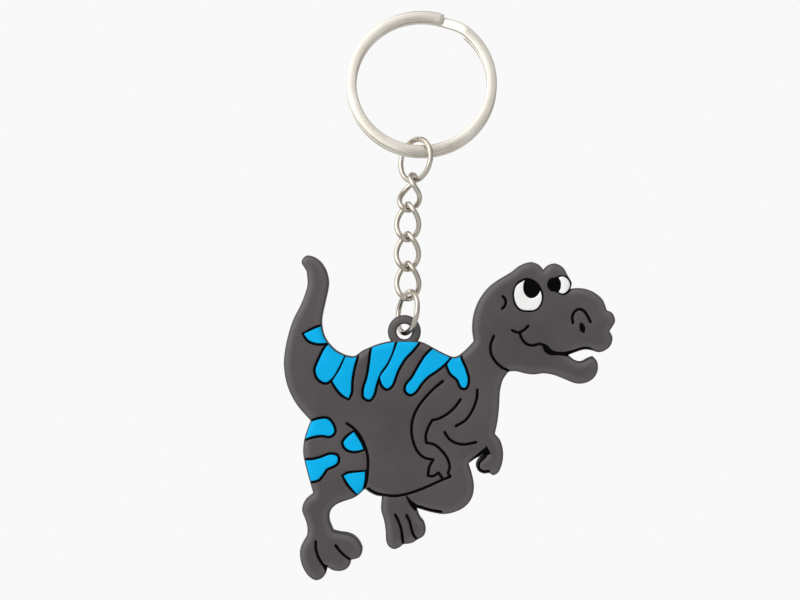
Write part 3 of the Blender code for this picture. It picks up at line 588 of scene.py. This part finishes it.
def flat_wire_section(half_width, half_depth, corner=0.28, crown=0.05, steps=5):
    """A rounded rectangle whose broad faces are slightly crowned."""
    section = []
    for quarter, (side_u, side_v) in enumerate(((-1, -1), (1, -1), (1, 1), (-1, 1))):
        u, v = side_u * (half_width - corner), side_v * (half_depth - corner - crown)
        for step in range(steps + 1):
            angle = math.radians(180 + 90 * quarter + 90 * step / steps)
            section.append((u + corner * math.cos(angle), v + corner * math.sin(angle)))
        if quarter in (0, 2):
            reach = half_width - corner
            for share in CROWN_SHARES:
                across = share * reach * (1 if quarter == 0 else -1)
                section.append((across, side_v * (half_depth - crown * share ** 2)))
    return section


# ---------------------------------------------------------------- materials

class Nodes:
    """Short calls for building one material's nodes."""

    def __init__(self, name):
        self.material = bpy.data.materials.new(name)
        self.material.use_nodes = True
        self.tree = self.material.node_tree
        self.shader = self.tree.nodes["Principled BSDF"]
        self.place = self.add("ShaderNodeTexCoord").outputs["Object"]

    def add(self, kind, **settings):
        node = self.tree.nodes.new(kind)
        for key, value in settings.items():
            setattr(node, key, value)
        return node

    def link(self, start, end):
        self.tree.links.new(start, end)

    def noise(self, scale, detail=3.0, roughness=0.5):
        node = self.add("ShaderNodeTexNoise")
        node.inputs["Scale"].default_value = scale
        node.inputs["Detail"].default_value = detail
        node.inputs["Roughness"].default_value = roughness
        self.link(self.place, node.inputs["Vector"])
        return node.outputs["Fac"]

    def attribute(self, name):
        return self.add("ShaderNodeAttribute", attribute_name=name).outputs["Fac"]

    def spread(self, value, low, high, from_low=0.3, from_high=0.7):
        """A number stretched to a new range."""
        node = self.add("ShaderNodeMapRange")
        limits = {"From Min": from_low, "From Max": from_high, "To Min": low, "To Max": high}
        for key, number in limits.items():
            node.inputs[key].default_value = number
        self.link(value, node.inputs["Value"])
        return node.outputs["Result"]

    def mix(self, share, first, second):
        """A mix of two colours, each a tuple or a socket, by a socket's share of the second."""
        node = self.add("ShaderNodeMix", data_type="RGBA")
        self.link(share, node.inputs[0])
        for socket, colour in ((6, first), (7, second)):
            if isinstance(colour, tuple):
                node.inputs[socket].default_value = (*colour, 1)
            else:
                self.link(colour, node.inputs[socket])
        return node.outputs[2]

    def bump(self, parts):
        """Bumps from (height, distance in metres) pairs, one over the other."""
        normal = None
        for height, distance in parts:
            node = self.add("ShaderNodeBump")
            node.inputs["Distance"].default_value = distance
            self.link(height, node.inputs["Height"])
            if normal:
                self.link(normal, node.inputs["Normal"])
            normal = node.outputs["Normal"]
        self.link(normal, self.shader.inputs["Normal"])


def rubber(name, colour, light, roughness, ior, mottling=0.08, edge_highlight=0.0, edge_shade=0.0):
    """Moulded soft PVC: mottling, a fine matt grain, a few pale specks, and a painted highlight along the
    edge with painted shade at its very edge.
    """
    nodes = Nodes(name)
    mottle = nodes.spread(nodes.noise(MOTTLE_SCALE, detail=5, roughness=0.62), 0, 1)
    shares = (1 - mottling, 1 + mottling)
    darker, paler = (tuple(min(value * share, 1) for value in colour) for share in shares)
    base = nodes.mix(mottle, darker, paler)
    specks = nodes.spread(nodes.noise(SPECK_SCALE, detail=2), 0, 0.4, from_low=0.7, from_high=0.8)
    base = nodes.mix(specks, base, light)
    # A painted highlight lightens the band inside the edge, and painted shade darkens the very edge.
    if edge_highlight:
        highlight_share = nodes.spread(nodes.attribute("edge_highlight"), 0, edge_highlight, from_low=0, from_high=1)
        base = nodes.mix(highlight_share, base, light)
        dark = tuple(value * EDGE_SHADE_FACTOR for value in colour)
        shaded = nodes.spread(nodes.attribute("edge_shade"), 0, edge_shade, from_low=0, from_high=1)
        base = nodes.mix(shaded, base, dark)
    nodes.link(base, nodes.shader.inputs["Base Color"])
    gloss = nodes.spread(nodes.noise(scale=900), roughness - 0.06, roughness + 0.08)
    nodes.link(gloss, nodes.shader.inputs["Roughness"])
    nodes.shader.inputs["IOR"].default_value = ior
    waves = nodes.noise(scale=420, detail=2)
    grain = nodes.noise(scale=3800, roughness=0.6)
    nodes.bump([(waves, WAVE_DEPTH), (grain, GRAIN_DEPTH)])
    return nodes.material


def nickel(name, colour, tarnish, roughness, brushed=0.0):
    """Plated steel: a soft satin shine, warm patches, and a ring's brushing round its own axis."""
    nodes = Nodes(name)
    patches = nodes.spread(nodes.noise(scale=180, detail=2), 0, 1, from_low=0.35, from_high=0.65)
    nodes.link(nodes.mix(patches, colour, tarnish), nodes.shader.inputs["Base Color"])
    nodes.shader.inputs["Metallic"].default_value = 1.0
    gloss = nodes.spread(nodes.noise(scale=500, detail=2), roughness - 0.03, roughness + 0.03)
    nodes.link(gloss, nodes.shader.inputs["Roughness"])
    if brushed:
        round_axis = nodes.add("ShaderNodeTangent", direction_type="RADIAL", axis="Y")
        nodes.link(round_axis.outputs["Tangent"], nodes.shader.inputs["Tangent"])
        nodes.shader.inputs["Anisotropic"].default_value = brushed
        nodes.shader.inputs["Anisotropic Rotation"].default_value = QUARTER_TURN
    dents = nodes.noise(scale=350, detail=2)
    scratches = nodes.noise(scale=2500, detail=1)
    nodes.bump([(dents, DENT_DEPTH), (scratches, SCRATCH_DEPTH)])
    return nodes.material


def pale_floor():
    """Matt and nearly white, with a trace of unevenness."""
    nodes = Nodes("pale_floor")
    darker = tuple(value * 0.985 for value in STUDIO_FLOOR_COLOUR)
    shade = nodes.mix(nodes.noise(scale=6, detail=2), STUDIO_FLOOR_COLOUR, darker)
    nodes.link(shade, nodes.shader.inputs["Base Color"])
    nodes.shader.inputs["Roughness"].default_value = 0.8
    return nodes.material


MATERIALS = {
    # The grey's pale edge band is a painted highlight, and its dark band at the very edge is painted shade.
    "grey_rubber": rubber("grey_pvc", (0.074, 0.0635, 0.065), (0.19, 0.172, 0.17), roughness=0.5,
                          ior=1.42, mottling=0.16, edge_highlight=0.4, edge_shade=0.6),
    "blue_rubber": rubber("blue_pvc", (0.001, 0.44, 0.84), (0.01, 0.48, 0.87), roughness=0.5, ior=1.18),
    "black_rubber": rubber("black_pvc", (0.001, 0.001, 0.0015), (0.006, 0.006, 0.008), roughness=0.6,
                           ior=1.12),
    "white_rubber": rubber("white_pvc", (0.93, 0.925, 0.91), (0.95, 0.95, 0.94), roughness=0.45, ior=1.4),
    "nickel": nickel("nickel_plate", (0.77, 0.73, 0.66), (0.69, 0.645, 0.565), roughness=0.33,
                     brushed=0.7),
    # The chain's nickel is the ring's nickel made darker: painted shade for the dim surroundings its round
    # wire reflects.
    "shaded_nickel_wire": nickel("shaded_nickel_plate", (0.64, 0.6, 0.53), (0.54, 0.495, 0.42), roughness=0.15),
}


# ---------------------------------------------------------------- studio

def build_studio():
    """The floor, the surroundings' light and the near light."""
    ground = bpy.data.meshes.new("studio_floor")
    around = ((-1, -1), (1, -1), (1, 1), (-1, 1))
    reach, level = STUDIO_FLOOR_REACH, STUDIO_FLOOR_LEVEL
    corners = [(x * reach, y * reach, level) for x, y in around]
    ground.from_pydata(corners, [], [(0, 1, 2, 3)])
    floor = bpy.data.objects.new("studio_floor", ground)
    bpy.context.scene.collection.objects.link(floor)
    floor.data.materials.append(pale_floor())
    build_surroundings()
    build_key_light()


def build_surroundings():
    """White all round, but dim in a tall band ahead of and behind the figure, to its right and below."""
    world = bpy.data.worlds.new("studio_air")
    bpy.context.scene.world = world
    world.use_nodes = True
    tree = world.node_tree
    way = tree.nodes.new("ShaderNodeTexCoord").outputs["Generated"]
    split = tree.nodes.new("ShaderNodeSeparateXYZ")
    tree.links.new(way, split.inputs["Vector"])
    shift = vector_node(tree, "SUBTRACT", way, DIM_BAND_CENTRE)
    spread = vector_node(tree, "MULTIPLY", shift.outputs["Vector"], DIM_BAND_STRETCH)
    reach = vector_node(tree, "LENGTH", spread.outputs["Vector"])
    shade = fade(tree, reach.outputs["Value"], BAND_FADE)
    for value, fading in ((split.outputs["X"], RIGHT_FADE), (split.outputs["Z"], DOWN_FADE)):
        product = tree.nodes.new("ShaderNodeMath")
        product.operation = "MULTIPLY"
        tree.links.new(shade, product.inputs[0])
        tree.links.new(fade(tree, value, fading), product.inputs[1])
        shade = product.outputs[0]
    mix = tree.nodes.new("ShaderNodeMix")
    mix.inputs["B"].default_value = BACKGROUND_SHADE
    tree.links.new(tree.nodes.new("ShaderNodeLightPath").outputs["Is Camera Ray"], mix.inputs["Factor"])
    tree.links.new(shade, mix.inputs["A"])
    tree.links.new(mix.outputs["Result"], tree.nodes["Background"].inputs["Color"])


def fade(tree, value, fading):
    """A smooth fall from 1, as a value goes from the fade's start to its end."""
    start, end, depth = fading
    ramp = tree.nodes.new("ShaderNodeMapRange")
    ramp.interpolation_type = "SMOOTHSTEP"
    for key, number in (("From Min", end), ("From Max", start), ("To Min", 1 - depth), ("To Max", 1.0)):
        ramp.inputs[key].default_value = number
    tree.links.new(value, ramp.inputs["Value"])
    return ramp.outputs["Result"]


def vector_node(tree, operation, start, other=None):
    """A vector sum of a socket and a constant, or a measure of the socket alone."""
    node = tree.nodes.new("ShaderNodeVectorMath")
    node.operation = operation
    tree.links.new(start, node.inputs[0])
    if other:
        node.inputs[1].default_value = other
    return node


def build_key_light():
    """A soft square light close by, which the camera doesn't see."""
    data = bpy.data.lights.new("key_softbox", "AREA")
    data.size = KEY_SIZE
    data.energy = KEY_POWER
    light = bpy.data.objects.new("key_softbox", data)
    light.visible_camera = False
    light.location = KEY_PLACE
    light.rotation_euler = (Vector(KEY_TARGET) - light.location).to_track_quat("-Z", "Y").to_euler()
    bpy.context.scene.collection.objects.link(light)


def build_camera():
    """Straight at the figure's face, at the height of the middle of the hanging keychain."""
    data = bpy.data.cameras.new("photo_camera")
    data.lens = CAMERA_LENS
    camera = bpy.data.objects.new("photo_camera", data)
    distance = VIEW_WIDTH * CAMERA_LENS / data.sensor_width
    camera.location = Vector((VIEW_CENTRE[0], FIGURE_PLANE + VIEW_LEVEL - distance, VIEW_CENTRE[1])) * MM
    camera.rotation_euler = (math.radians(90), 0, 0)
    bpy.context.scene.collection.objects.link(camera)
    bpy.context.scene.camera = camera


def dress(piece, node, slot, look=None):
    """Give a piece its material and the body it moves with, and hide the CAD node it stands for."""
    piece.data.materials.append(MATERIALS[look or slot])
    bodies = frame["record"]["behaviour"]["bodies"]
    body = next(name for name, members in bodies.items() if node in members)
    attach(piece, body)
    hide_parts(node)


def main():
    slots = {row["node"]: row["material_slot"] for row in frame["record"]["subparts"]}
    dress(build_split_ring(), "split_ring", "nickel")
    for node, piece in build_chain().items():
        # The chain pieces take the darker nickel, which is painted shade.
        dress(piece, node, "nickel", "shaded_nickel_wire")
    body, torso = build_body()
    dress(body, "dinosaur_body", "grey_rubber")
    for node in frame["record"]["behaviour"]["bodies"]["dinosaur"]:
        if node != "dinosaur_body":
            dress(build_filling(node, slots[node], torso), node, slots[node])
    build_studio()
    build_camera()
    bpy.context.scene.view_settings.view_transform = "Standard"


main()
